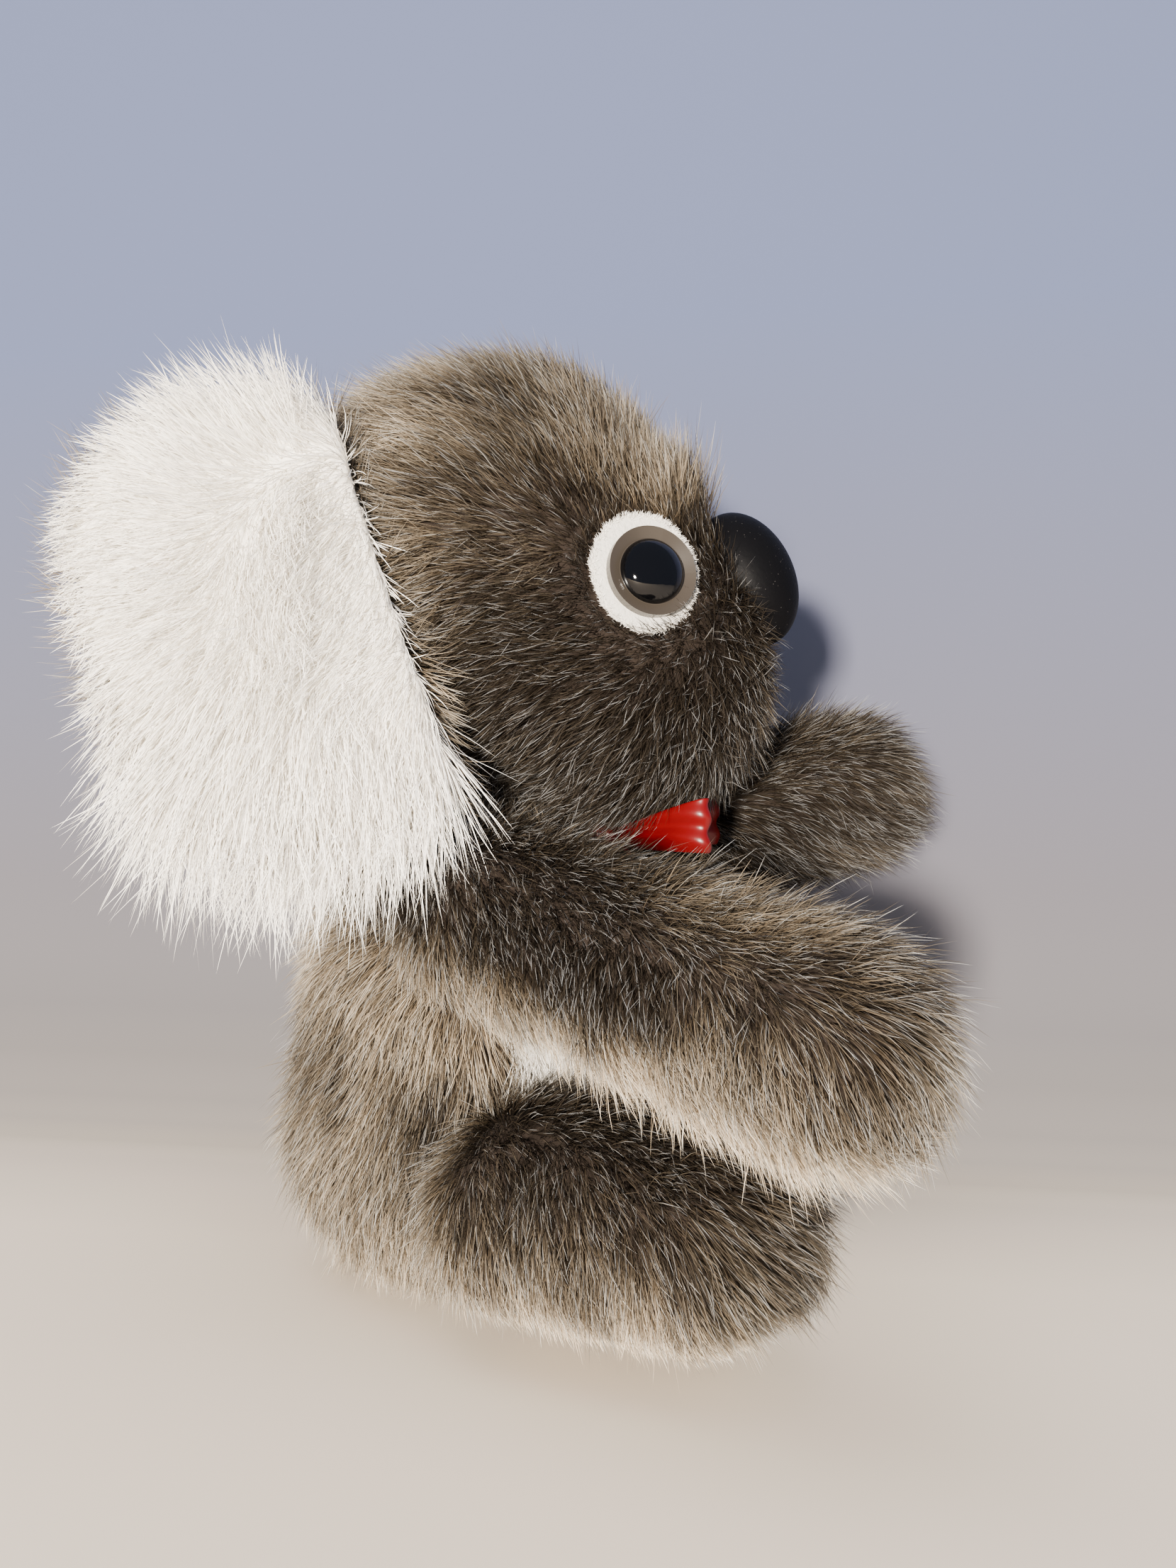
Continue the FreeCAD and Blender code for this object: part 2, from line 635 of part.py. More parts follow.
# ---- closing stitches: short threads across the seam down the back
stitches = []
for index in range(int(size("stitch_count"))):
    level = size("stitch_start") + index * size("stitch_pitch")
    ray = Part.makeLine(vec(0, 0, level), vec(0, roomy, level))
    stitches.append((level, ray))
doc.recompute()
backSkin = doc.getObject("torso_outer_skin").Shape
threads = []
for level, ray in stitches:
    surface = backSkin.common(ray).BoundBox.YMax + size("thread_radius") + size("thread_gap")
    rod = Part.makeCylinder(size("thread_radius"), size("stitch_length"),
                            vec(-size("stitch_length") / 2, surface, level), xAxis)
    threads.append(rod)
backStitches = doc.addObject("Part::Feature", "back_stitches")
backStitches.Shape = Part.makeCompound(threads)
backStitches.Placement = place()
finish(backStitches, "back_stitches")

doc.recompute()
os.makedirs("parts", exist_ok=True)
for obj in doc.Objects:
    if "Invalid" in obj.State or "Error" in obj.State:
        raise RuntimeError(f"{obj.Name} did not build")
for obj in finished:
    if obj.Shape.isNull() or not obj.Shape.isValid() or not obj.Shape.Solids:
        raise RuntimeError(f"{obj.Label} has no sound solid")
    obj.Shape.exportStep(f"parts/{obj.Label}.step")
    print(obj.Label, len(obj.Shape.Solids), round(obj.Shape.Volume, 1))
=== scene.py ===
import json
import math

import bmesh
import bpy
import numpy as np
from mathutils import Matrix, Vector
from mathutils.bvhtree import BVHTree


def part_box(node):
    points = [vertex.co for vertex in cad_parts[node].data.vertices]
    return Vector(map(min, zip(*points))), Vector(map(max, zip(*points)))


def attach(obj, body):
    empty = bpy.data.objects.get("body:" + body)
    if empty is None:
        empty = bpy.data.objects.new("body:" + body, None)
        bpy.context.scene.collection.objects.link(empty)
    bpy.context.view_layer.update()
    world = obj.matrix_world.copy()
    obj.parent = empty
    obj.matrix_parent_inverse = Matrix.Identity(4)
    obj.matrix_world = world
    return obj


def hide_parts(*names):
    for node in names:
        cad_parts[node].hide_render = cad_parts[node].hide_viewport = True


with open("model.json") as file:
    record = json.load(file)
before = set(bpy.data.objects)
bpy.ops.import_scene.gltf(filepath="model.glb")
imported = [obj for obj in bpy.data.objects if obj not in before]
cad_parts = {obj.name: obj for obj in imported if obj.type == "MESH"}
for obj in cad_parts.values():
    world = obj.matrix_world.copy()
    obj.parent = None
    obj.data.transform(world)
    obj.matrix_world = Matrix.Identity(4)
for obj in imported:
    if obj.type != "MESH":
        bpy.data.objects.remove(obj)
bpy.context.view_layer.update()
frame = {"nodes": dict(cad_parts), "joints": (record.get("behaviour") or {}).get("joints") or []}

# A small plush koala. Units are metres; mm turns the sizes below into them.
mm = 0.001
sides = {"right": -1, "left": 1}


def boxOf(node):
    low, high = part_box(node)
    return np.array(low), np.array(high)


def middleOf(node):
    low, high = boxOf(node)
    return (low + high) / 2


# ---------- materials
def newMaterial(name):
    material = bpy.data.materials.new(name)
    material.use_nodes = True
    nodes = material.node_tree.nodes
    return material, nodes, material.node_tree.links, nodes["Principled BSDF"]


def plainMaterial(name, colour, roughness, specular=0.5, coat=0.0, sheen=0.0, grain=None):
    material, nodes, links, shader = newMaterial(name)
    shader.inputs["Base Color"].default_value = (*colour, 1)
    shader.inputs["Roughness"].default_value = roughness
    shader.inputs["Specular IOR Level"].default_value = specular
    shader.inputs["Coat Weight"].default_value = coat
    shader.inputs["Coat Roughness"].default_value = 0.04
    shader.inputs["Sheen Weight"].default_value = sheen
    if grain:
        place = nodes.new("ShaderNodeTexCoord")
        noise = nodes.new("ShaderNodeTexNoise")
        noise.inputs["Scale"].default_value = grain["scale"]
        noise.inputs["Detail"].default_value = grain.get("detail", 3)
        bump = nodes.new("ShaderNodeBump")
        bump.inputs["Strength"].default_value = grain["strength"]
        bump.inputs["Distance"].default_value = grain["depth"] * mm
        links.new(place.outputs["Object"], noise.inputs["Vector"])
        links.new(noise.outputs["Fac"], bump.inputs["Height"])
        links.new(bump.outputs["Normal"], shader.inputs["Normal"])
    return material


def rampNode(nodes, stops):
    ramp = nodes.new("ShaderNodeValToRGB")
    elements = ramp.color_ramp.elements
    for index, (at, colour) in enumerate(stops):
        element = elements[index] if index < len(elements) else elements.new(at)
        element.position = at
        element.color = (*colour, 1)
    return ramp


def colourSocket(sockets, name):
    return next(s for s in sockets if s.name == name and s.type == "RGBA")


def blendOf(nodes, links, share, first, second):
    mix = nodes.new("ShaderNodeMix")
    mix.data_type = "RGBA"
    links.new(share, mix.inputs["Factor"])
    links.new(first, colourSocket(mix.inputs, "A"))
    links.new(second, colourSocket(mix.inputs, "B"))
    return colourSocket(mix.outputs, "Result")


def strandMaterial(name, look):
    # the map's v runs from root to tip; the lower half of its u holds the plain strands, dark
    # to pale, and the upper half the ones with bright tips
    material, nodes, links, shader = newMaterial(name)
    uv = nodes.new("ShaderNodeUVMap")
    uv.uv_map = "OFBake"
    split = nodes.new("ShaderNodeSeparateXYZ")
    links.new(uv.outputs["UV"], split.inputs["Vector"])
    kinds = []
    for low, kind in ((0.0, "plain"), (0.5, "tipped")):
        tone = nodes.new("ShaderNodeMapRange")
        tone.inputs["From Min"].default_value = low
        tone.inputs["From Max"].default_value = low + 0.5
        links.new(split.outputs["X"], tone.inputs["Value"])
        ramps = []
        for stops in look[kind]:
            ramp = rampNode(nodes, stops)
            links.new(split.outputs["Y"], ramp.inputs["Fac"])
            ramps.append(ramp.outputs["Color"])
        kinds.append(blendOf(nodes, links, tone.outputs["Result"], *ramps))
    isTipped = nodes.new("ShaderNodeMath")
    isTipped.operation = "GREATER_THAN"
    isTipped.inputs[1].default_value = 0.5
    links.new(split.outputs["X"], isTipped.inputs[0])
    colour = blendOf(nodes, links, isTipped.outputs["Value"], *kinds)
    links.new(colour, shader.inputs["Base Color"])
    shader.inputs["Roughness"].default_value = look["roughness"]
    shader.inputs["Specular IOR Level"].default_value = look["specular"]
    return material


# each kind is its darkest and its palest strand, root to tip
brownLook = {
    "plain": [
        [(0.0, (0.002, 0.0013, 0.001)), (0.5, (0.006, 0.0042, 0.003)), (1.0, (0.016, 0.0125, 0.009))],
        [(0.0, (0.040, 0.027, 0.016)), (0.35, (0.24, 0.178, 0.112)), (0.75, (0.50, 0.405, 0.285)),
         (1.0, (0.72, 0.63, 0.50))],
    ],
    "tipped": [
        [(0.0, (0.002, 0.0013, 0.001)), (0.55, (0.006, 0.0045, 0.0035)), (0.72, (0.10, 0.098, 0.095)),
         (1.0, (0.30, 0.31, 0.32))],
        [(0.0, (0.045, 0.032, 0.019)), (0.4, (0.24, 0.19, 0.13)), (0.7, (0.47, 0.42, 0.34)),
         (1.0, (0.74, 0.70, 0.62))],
    ],
    "roughness": 0.5,
    "specular": 0.12,
}
whiteStops = [
    [(0.0, (0.80, 0.75, 0.66)), (0.4, (0.92, 0.88, 0.81)), (1.0, (0.95, 0.92, 0.86))],
    [(0.0, (0.88, 0.83, 0.75)), (0.4, (0.97, 0.94, 0.88)), (1.0, (0.98, 0.95, 0.89))],
]
whiteLook = {"plain": whiteStops, "tipped": whiteStops, "roughness": 0.45, "specular": 0.4}
brownStrands = strandMaterial("brown_pile", brownLook)
whiteStrands = strandMaterial("white_pile", whiteLook)
brownBacking = plainMaterial("brown_backing", (0.016, 0.011, 0.008), 0.9, 0.2,
                             grain={"scale": 900, "strength": 0.6, "depth": 0.3})
whiteBacking = plainMaterial("white_backing", (0.80, 0.77, 0.71), 0.9, 0.2,
                             grain={"scale": 900, "strength": 0.6, "depth": 0.3})
print("materials ready")


# ---------- skins: the fabric of each bag, from the shape of its solids
def solidPoints(nodes):
    return np.concatenate([[tuple(v.co) for v in frame["nodes"][n].data.vertices] for n in nodes])


def meshObject(name, mesh):
    obj = bpy.data.objects.new(name, mesh)
    bpy.context.scene.collection.objects.link(obj)
    return obj


def bake(obj):
    # replaces the mesh by what its modifiers make of it
    graph = bpy.context.evaluated_depsgraph_get()
    result = bpy.data.meshes.new_from_object(obj.evaluated_get(graph))
    old = obj.data
    obj.modifiers.clear()
    obj.data = result
    bpy.data.meshes.remove(old)
    return obj


def waves(points, scale, seed, count=14):
    # smooth noise: a sum of plane waves, about -1 to 1
    source = np.random.default_rng(seed)
    axes = source.normal(size=(count, 3))
    axes /= np.linalg.norm(axes, axis=1)[:, None]
    length = scale * source.uniform(0.7, 1.6, count)
    phase = source.uniform(0, 2 * math.pi, count)
    angle = points @ (axes * (2 * math.pi / length)[:, None]).T + phase
    return np.cos(angle).sum(axis=1) / math.sqrt(count / 2) * 0.6


def verticesOf(mesh):
    points = np.empty(len(mesh.vertices) * 3)
    mesh.vertices.foreach_get("co", points)
    return points.reshape(-1, 3)


def normalsOf(mesh):
    normals = np.empty(len(mesh.vertices) * 3)
    mesh.vertices.foreach_get("normal", normals)
    return normals.reshape(-1, 3)


def skin(name, nodes, body, look):
    hull = bmesh.new()
    for point in solidPoints(nodes):
        hull.verts.new(point)
    found = bmesh.ops.convex_hull(hull, input=hull.verts)
    spare = [v for v in found["geom_interior"] if isinstance(v, bmesh.types.BMVert)]
    bmesh.ops.delete(hull, geom=spare, context="VERTS")
    mesh = bpy.data.meshes.new(name)
    hull.to_mesh(mesh)
    hull.free()
    obj = meshObject(name, mesh)
    remesh = obj.modifiers.new("even", "REMESH")
    remesh.mode = "VOXEL"
    remesh.voxel_size = look["grid"] * mm
    smooth = obj.modifiers.new("soft", "SMOOTH")
    smooth.iterations = look.get("soften", 4)
    bake(obj)
    points = verticesOf(obj.data)
    normals = normalsOf(obj.data)
    if look.get("hug"):
        target = joined(nodes)
        for index, point in enumerate(points):
            place, normal, _, distance = target.find_nearest(Vector(point))
            if distance > look["hug"] * mm:
                points[index] = place
    lumps = waves(points, look["lumpSize"] * mm, look["seed"]) * look["lump"] * mm
    points += normals * (lumps + look.get("puff", 0) * mm)[:, None]
    if "floor" in look:
        points[:, 2] = np.maximum(points[:, 2], look["floor"] * mm)
    obj.data.vertices.foreach_set("co", points.ravel())
    obj.data.update()
    settle = obj.modifiers.new("settle", "SMOOTH")
    settle.iterations = look.get("settle", 2)
    bake(obj)
    obj.data.shade_smooth()
    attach(obj, body)
    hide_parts(*nodes)
    return obj


def joined(nodes):
    points, faces = [], []
    for node in nodes:
        mesh = frame["nodes"][node].data
        start = len(points)
        points += [tuple(v.co) for v in mesh.vertices]
        faces += [[start + i for i in p.vertices] for p in mesh.polygons]
    return BVHTree.FromPolygons(points, faces)


# ---------- pile: strands are real, tapered slips of mesh rooted in a skin
def scatter(obj, perSquareMm, source):
    mesh = obj.data
    mesh.calc_loop_triangles()
    corners = np.empty(len(mesh.loop_triangles) * 3, dtype=np.int64)
    mesh.loop_triangles.foreach_get("vertices", corners)
    corners = corners.reshape(-1, 3)
    points, normals = verticesOf(mesh), normalsOf(mesh)
    a, b, c = (points[corners[:, i]] for i in range(3))
    area = np.linalg.norm(np.cross(b - a, c - a), axis=1) / 2
    total = int(area.sum() / mm ** 2 * perSquareMm)
    chosen = source.choice(len(area), total, p=area / area.sum())
    u, v = source.random((2, total))
    over = u + v > 1
    u[over], v[over] = 1 - u[over], 1 - v[over]
    weights = np.stack([1 - u - v, u, v], axis=1)[:, :, None]
    roots = (points[corners[chosen]] * weights).sum(axis=1)
    ups = (normals[corners[chosen]] * weights).sum(axis=1)
    return roots, unit(ups)


def unit(vectors):
    return vectors / np.maximum(np.linalg.norm(vectors, axis=-1, keepdims=True), 1e-12)


def flatTo(vectors, normals):
    return unit(vectors - normals * (vectors * normals).sum(axis=1)[:, None])


def clumpPull(roots, size, seed):
    # strands of one tuft lean to a shared point: the tuft's cell gives it
    cell = np.floor(roots / size + waves(roots, size * 3, seed)[:, None] * 0.35).astype(np.int64)
    key = (cell * np.array([73856093, 19349663, 83492791])).sum(axis=1) % 1048573
    table = np.random.default_rng(seed).normal(size=(1048573, 3)).astype(np.float32)
    centre = (cell + 0.5) * size
    return centre - roots, table[key]


# gamma and gain deepen the dark patches; steady and wild set how a strand's tone strays from its place
strandLook = {"perPiece": 38000, "gamma": 1.5, "gain": 1.25, "steady": 0.25, "wild": 1.5, "clip": 0.015}


def grow(name, body, roots, normals, comb, tone, look, material, slotName, stretch=1.0):
    source = np.random.default_rng(look["seed"])
    count = len(roots)
    comb = flatTo(comb, normals)
    side = np.cross(normals, comb)
    swirl = waves(roots, look["swirlSize"] * mm, look["seed"] + 5) * look["swirl"]
    comb = comb * np.cos(swirl)[:, None] + side * np.sin(swirl)[:, None]
    length = look["length"] * mm * (1 + look["vary"] * source.normal(size=count)).clip(0.45, 1.5) * stretch
    lift = np.radians(look["lift"] + look["liftVary"] * source.normal(size=count))[:, None]
    stray = source.normal(size=(count, 3)) * look["stray"]
    toTuft, tuftWay = clumpPull(roots, look["tuft"] * mm, look["seed"] + 9)
    start = unit(normals * np.sin(lift) + comb * np.cos(lift) + stray * 0.5)
    lean = unit(normals * np.sin(lift * look["settle"]) + comb * np.cos(lift * look["settle"])
                + stray + tuftWay * look["tuftWay"] + np.array([0, 0, -look["sag"]]))
    lean = unit(lean + np.maximum(0, 0.06 - (lean * normals).sum(axis=1))[:, None] * normals)
    levels = np.array([0.0, 0.38, 0.72, 1.0])
    spine = np.empty((count, 4, 3))
    for index, level in enumerate(levels):
        along = start * (level - 0.5 * level ** 2) + lean * (0.5 * level ** 2)
        reach = along * length[:, None]
        spine[:, index] = roots + reach + toTuft * look["tuftPull"] * level ** 1.5
    spine[:, 0] -= normals * 0.25 * mm
    spine[:, :, 2] = np.maximum(spine[:, :, 2], (0.15 + 0.25 * source.random((count, 1))) * mm)
    heading = unit(spine[:, 3] - spine[:, 0])
    across = unit(np.cross(heading, unit(source.normal(size=(count, 3)))))
    width = look["width"] * mm * source.uniform(0.75, 1.25, count)
    shares = np.array([0.85, 1.0, 0.7])
    vertices = np.empty((count, 7, 3))
    for index, share in enumerate(shares):
        half = across * (width * share / 2)[:, None]
        vertices[:, 2 * index] = spine[:, index] - half
        vertices[:, 2 * index + 1] = spine[:, index] + half
    vertices[:, 6] = spine[:, 3]
    tone = strandLook["gain"] * np.maximum(tone, 0) ** strandLook["gamma"]
    spreadOf = look["toneVary"] * (strandLook["steady"] + strandLook["wild"] * tone)
    tones = (tone + spreadOf * source.normal(size=count)).clip(strandLook["clip"], 1 - strandLook["clip"])
    tipped = source.random(count) < look["tipped"]
    tones = tones / 2 + 0.5 * tipped
    chunk = strandLook["perPiece"]
    order = source.permutation(count)
    objects = []
    for number, low in enumerate(range(0, count, chunk), start=1):
        pick = order[low:low + chunk]
        objects.append(strandMesh(f"{name}_{number}", vertices[pick], tones[pick], levels, material))
        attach(objects[-1], body)
    print(f"{name}: {count} strands")
    return objects


def strandMesh(name, vertices, tones, levels, material):
    count = len(vertices)
    base = np.arange(count)[:, None] * 7
    quads = np.array([0, 1, 3, 2, 2, 3, 5, 4])
    loops = np.concatenate([base + quads, base + np.array([4, 5, 6])], axis=1).ravel()
    starts = (np.arange(count)[:, None] * 11 + np.array([0, 4, 8])).ravel()
    mesh = bpy.data.meshes.new(name)
    mesh.vertices.add(count * 7)
    mesh.vertices.foreach_set("co", vertices.ravel())
    mesh.loops.add(count * 11)
    mesh.loops.foreach_set("vertex_index", loops)
    mesh.polygons.add(count * 3)
    mesh.polygons.foreach_set("loop_start", starts)
    mesh.update(calc_edges=True)
    uv = mesh.uv_layers.new(name="OFBake")
    left, right = tones - 0.006, tones + 0.006
    v = levels
    corner = [(left, v[0]), (right, v[0]), (right, v[1]), (left, v[1]), (left, v[1]), (right, v[1]),
              (right, v[2]), (left, v[2]), (left, v[2]), (right, v[2]), (tones, v[3])]
    # the levels keep a little off the map's edges
    pairs = [np.stack([u, np.full(count, level * 0.96 + 0.02)], axis=1) for u, level in corner]
    values = np.stack(pairs, axis=1)
    uv.data.foreach_set("uv", values.ravel())
    mesh.materials.append(material)
    mesh.shade_smooth()
    return meshObject(name, mesh)


# ---------- where the eyes and the nose keep the pile away
def axisOf(node):
    # the thin way through a flat round piece, pointing away from the head
    points = solidPoints([node])
    centre = points.mean(axis=0)
    _, _, ways = np.linalg.svd(points - centre)
    out = ways[2]
    return centre, out if np.dot(out, centre - headMiddle) > 0 else -out


headMiddle = middleOf("head_stuffing")
eyes = {side: axisOf(f"{side}_eye_felt") for side in sides}
noseSpot = middleOf("nose") * np.array([0, 1, 1])
faceGaps = {"eye": 8.4, "noseWide": 8.0, "noseDeep": 13.0, "noseTall": 10.5}


def clearOfFace(roots):
    keep = np.ones(len(roots), dtype=bool)
    for centre, out in eyes.values():
        arm = roots - centre
        flat = arm - (arm @ out)[:, None] * out
        keep &= ~((np.linalg.norm(flat, axis=1) < faceGaps["eye"] * mm) & ((roots - headMiddle) @ out > 0))
    reach = np.array([faceGaps["noseWide"], faceGaps["noseDeep"], faceGaps["noseTall"]]) * mm
    arm = (roots - noseSpot) / reach
    return keep & (np.linalg.norm(arm, axis=1) > 1)


# ---------- head
headLook = {"grid": 1.5, "soften": 3, "lump": 0.35, "lumpSize": 16, "seed": 11, "fill": 0.9}
headPile = {"seed": 21, "length": 7.2, "vary": 0.2, "lift": 44, "liftVary": 12, "settle": 0.5, "stray": 0.22,
            "swirl": 0.3, "swirlSize": 20, "tuft": 2.0, "tuftPull": 0.20, "tuftWay": 0.14, "sag": 0.03,
            "width": 0.105, "toneVary": 0.13, "tipped": 0.22, "perSquareMm": 5.8}
headSkin = skin("head_skin", ["head_cover"], "head", headLook)
headSkin.data.materials.append(brownBacking)
points = verticesOf(headSkin.data)
for centre, out in eyes.values():
    arm = points - centre
    high = arm @ out
    flat = np.linalg.norm(arm - high[:, None] * out, axis=1)
    limit = -0.9 * mm + 1.2 * (flat - 9.6 * mm).clip(0)
    points -= np.where(high > 0.6 * limit - 2 * mm, (high - limit).clip(0), 0)[:, None] * out
headSkin.data.vertices.foreach_set("co", points.ravel())
headSkin.data.update()


def headComb(roots):
    # the pile runs back from the nose: up over the brow, level on the cheeks, down at the chin
    away = unit(roots - (noseSpot + np.array([0, 6 * mm, 2 * mm])))
    brow = np.clip((roots[:, 2] - 112 * mm) / (16 * mm), 0, 1)[:, None]
    front = np.clip((-roots[:, 1] - 8 * mm) / (22 * mm), 0, 1)[:, None]
    upright = brow * front * np.array([0, -0.25, 1.3])
    level = (1 - brow) * np.array([0, 0.9, -0.12])
    return away + upright + level


headPatches = [
    ((9, 135), 11, 0.47), ((16, 120), 12, 0.42), ((-3, 147), 9, 0.20), ((8, 148), 10, 0.36),
    ((-14, 144), 8, 0.20), ((-22, 135), 8, 0.32), ((-31, 131), 6, 0.38), ((-38, 131), 5, 0.34),
    ((-3, 126), 6, 0.24), ((-12, 129), 7, 0.11), ((-18, 123), 5, 0.20), ((2, 117), 8, 0.32),
    ((-10, 114), 6, 0.20), ((-4, 105), 8, 0.12), ((-12, 99), 9, 0.05), ((-24, 102), 8, 0.05),
    ((-32, 97), 8, 0.00), ((-39, 108), 6, 0.04), ((-39, 117), 5, 0.08), ((-42, 90), 7, 0.03),
    ((-49, 94), 4, 0.32), ((-47, 84), 4, 0.32), ((-22, 85), 9, 0.02), ((-20, 77), 6, 0.10),
    ((-6, 88), 8, 0.09), ((10, 95), 10, 0.22), ((24, 110), 14, 0.38), ((20, 92), 10, 0.30),
]


def sideTone(roots, patches, seed):
    # patches lie on both sides alike: each is its y and z, its reach and its tone, dark 0 to pale 1
    points = roots / mm
    total = np.full(len(points), 1e-6)
    tone = total * 0.4
    for (y, z), reach, value in patches:
        weight = np.exp(-((points[:, 1] - y) ** 2 + (points[:, 2] - z) ** 2) / reach ** 2)
        total += weight
        tone += weight * value
    return tone / total * (1 + 0.25 * waves(points, 9, seed) + 0.30 * waves(points, 3.2, seed + 1))


roots, ups = scatter(headSkin, headPile["perSquareMm"], np.random.default_rng(31))
keep = clearOfFace(roots)
roots, ups = roots[keep], ups[keep]
browTuft = np.exp(-(((roots[:, 1] + 36 * mm) / (6 * mm)) ** 2 + ((roots[:, 2] - 127 * mm) / (6 * mm)) ** 2))
nearEye = np.min([np.linalg.norm(roots - centre, axis=1) for centre, _ in eyes.values()], axis=0)
nearNose = np.linalg.norm(roots - noseSpot, axis=1)
stretch = 1 + 1.0 * browTuft - 0.45 * np.exp(-((nearEye - 8 * mm).clip(0) / (4 * mm)) ** 2)
stretch = stretch - 0.25 * np.exp(-((nearNose - 12 * mm).clip(0) / (8 * mm)) ** 2)
comb = headComb(roots)
muzzle = np.exp(-((roots[:, 1] + 40 * mm) / (12 * mm)) ** 2)
muzzle *= np.clip((118 * mm - roots[:, 2]) / (8 * mm), 0, 1)
comb = comb + muzzle[:, None] * np.random.default_rng(51).normal(size=comb.shape) * 0.9
grow("head_pile", "head", roots, ups, comb, sideTone(roots, headPatches, 3), headPile, brownStrands, "fur",
     stretch)

# ---------- body, with the white panel of its front
torsoLook = {"grid": 1.6, "soften": 4, "hug": 2.0, "lump": 0.4, "lumpSize": 18, "seed": 12, "fill": 0.85,
             "floor": 0.0}
torsoPile = dict(headPile, seed=22, length=7.8, lift=42, sag=0.14, tipped=0.25)
bellyPile = dict(torsoPile, seed=23, length=8.4, lift=48, perSquareMm=4.4, toneVary=0.2)
torsoPatches = [
    ((20, 56), 9, 0.55), ((5, 53), 8, 0.58), ((-5, 45), 6, 0.56), ((8, 46), 4, 0.42), ((24, 42), 8, 0.20),
    ((28, 30), 9, 0.26), ((20, 26), 8, 0.45), ((6, 38), 6, 0.44), ((3, 33), 4, 0.06), ((-10, 34), 6, 0.04),
    ((13, 12), 9, 0.48), ((26, 14), 9, 0.42), ((-2, 12), 8, 0.34), ((10, 66), 7, 0.30), ((-8, 62), 8, 0.14),
    ((0, 72), 6, 0.16),
]
torsoSkin = skin("torso_skin", ["torso_cover", "belly_panel"], "torso", torsoLook)
torsoSkin.data.materials.append(brownBacking)
torsoSkin.data.materials.append(whiteBacking)
panelLow, panelHigh = boxOf("belly_panel")


def onPanel(points, normals):
    spare = (2.5 + 7 * np.exp(-((points[:, 2] / mm - 42) / 9) ** 2)) * mm
    inside = (np.abs(points[:, 0]) < panelHigh[0] + spare) & (points[:, 2] > panelLow[2])
    return inside & (points[:, 2] < panelHigh[2] + 3 * mm) & (normals[:, 1] < -0.15)


for polygon in torsoSkin.data.polygons:
    centre = np.array([polygon.center])
    polygon.material_index = int(onPanel(centre, np.array([polygon.normal]))[0])
roots, ups = scatter(torsoSkin, torsoPile["perSquareMm"], np.random.default_rng(32))
keep = (roots[:, 2] > 0.8 * mm) | (ups[:, 2] > -0.6)
roots, ups = roots[keep], ups[keep]
white = onPanel(roots, ups)
down = np.tile([0.0, 0.05, -1.0], (len(roots), 1))
outward = roots * np.array([1, 1, 0])
grow("torso_pile", "torso", roots[~white], ups[~white], (down + unit(outward) * 0.1)[~white],
     sideTone(roots, torsoPatches, 5)[~white], torsoPile, brownStrands, "fur")
grow("belly_pile", "torso", roots[white], ups[white], down[white], np.full(white.sum(), 0.6),
     bellyPile, whiteStrands, "white_fur")

# ---------- arms and legs
limbLook = {"grid": 1.2, "soften": 3, "lump": 0.45, "lumpSize": 14, "fill": 0.8}
armPile = dict(headPile, seed=24, length=7.6, lift=42, sag=0.16, tipped=0.3)
legPile = dict(headPile, seed=25, length=7.4, lift=42, sag=0.20, tipped=0.28)
# places on a limb: share of its length from the root, and height over its middle in shares of its radius
limbs = {
    # the near arm runs dark on top and palest underneath (height -0.9): partly the pile's own tone, partly painted
    # light and shade
    "right_arm": {"pile": armPile, "along": 0.8, "patches": [
        ((0.0, 0.3), 0.22, 0.10), ((0.0, -0.7), 0.2, 0.45), ((0.28, 0.8), 0.2, 0.08), ((0.40, 0.2), 0.2, 0.0),
        ((0.62, 0.15), 0.18, 0.0), ((0.70, 0.85), 0.14, 0.26), ((0.50, -0.42), 0.12, 0.62),
        ((0.86, 0.15), 0.14, 0.34), ((0.75, -0.3), 0.15, 0.52), ((1.0, 0.5), 0.14, 0.20),
        ((0.42, -0.9), 0.2, 1.0), ((0.78, -0.9), 0.2, 0.90), ((1.08, -0.1), 0.15, 0.34),
        ((0.2, -0.5), 0.15, 0.5)]},
    "left_arm": {"pile": armPile, "along": 0.8, "patches": [
        ((0.3, 0.6), 0.2, 0.08), ((0.42, 0.1), 0.12, 0.55), ((0.55, 0.7), 0.15, 0.05),
        ((0.65, 0.0), 0.15, 0.03), ((0.85, 0.5), 0.15, 0.12), ((0.95, -0.2), 0.14, 0.05),
        ((0.7, -0.7), 0.16, 0.01), ((0.88, -0.8), 0.1, 0.14), ((1.08, 0.2), 0.15, 0.10), ((0.45, -0.7), 0.2, 0.16)]},
}
# the legs run dark on top and palest underneath (height -0.85): partly the pile's own tone, partly painted light and
# shade
legPatchesWithPaintedLight = [
    ((-0.35, 0.1), 0.3, 0.28), ((0.2, 0.7), 0.4, 0.05), ((0.75, 0.55), 0.3, 0.06), ((0.35, -0.1), 0.25, 0.26),
    ((0.25, -0.85), 0.4, 1.0), ((0.95, -0.85), 0.35, 0.95), ((1.25, 0.45), 0.3, 0.12),
    ((1.35, -0.25), 0.3, 0.24), ((-0.5, -0.7), 0.35, 0.5), ((0.8, -0.2), 0.25, 0.42),
]
for side in sides:
    limbs[f"{side}_leg"] = {"pile": legPile, "along": 0.35, "patches": legPatchesWithPaintedLight}
joints = {joint["child"]: np.array(joint["pos_m"]) for joint in frame["joints"]}


def limbTone(share, height, patches):
    total = np.full(len(share), 1e-6)
    tone = total * 0.4
    for (along, up), reach, value in patches:
        weight = np.exp(-(((share - along) / reach) ** 2 + ((height - up) / (reach * 2.2)) ** 2))
        total += weight
        tone += weight * value
    return tone / total


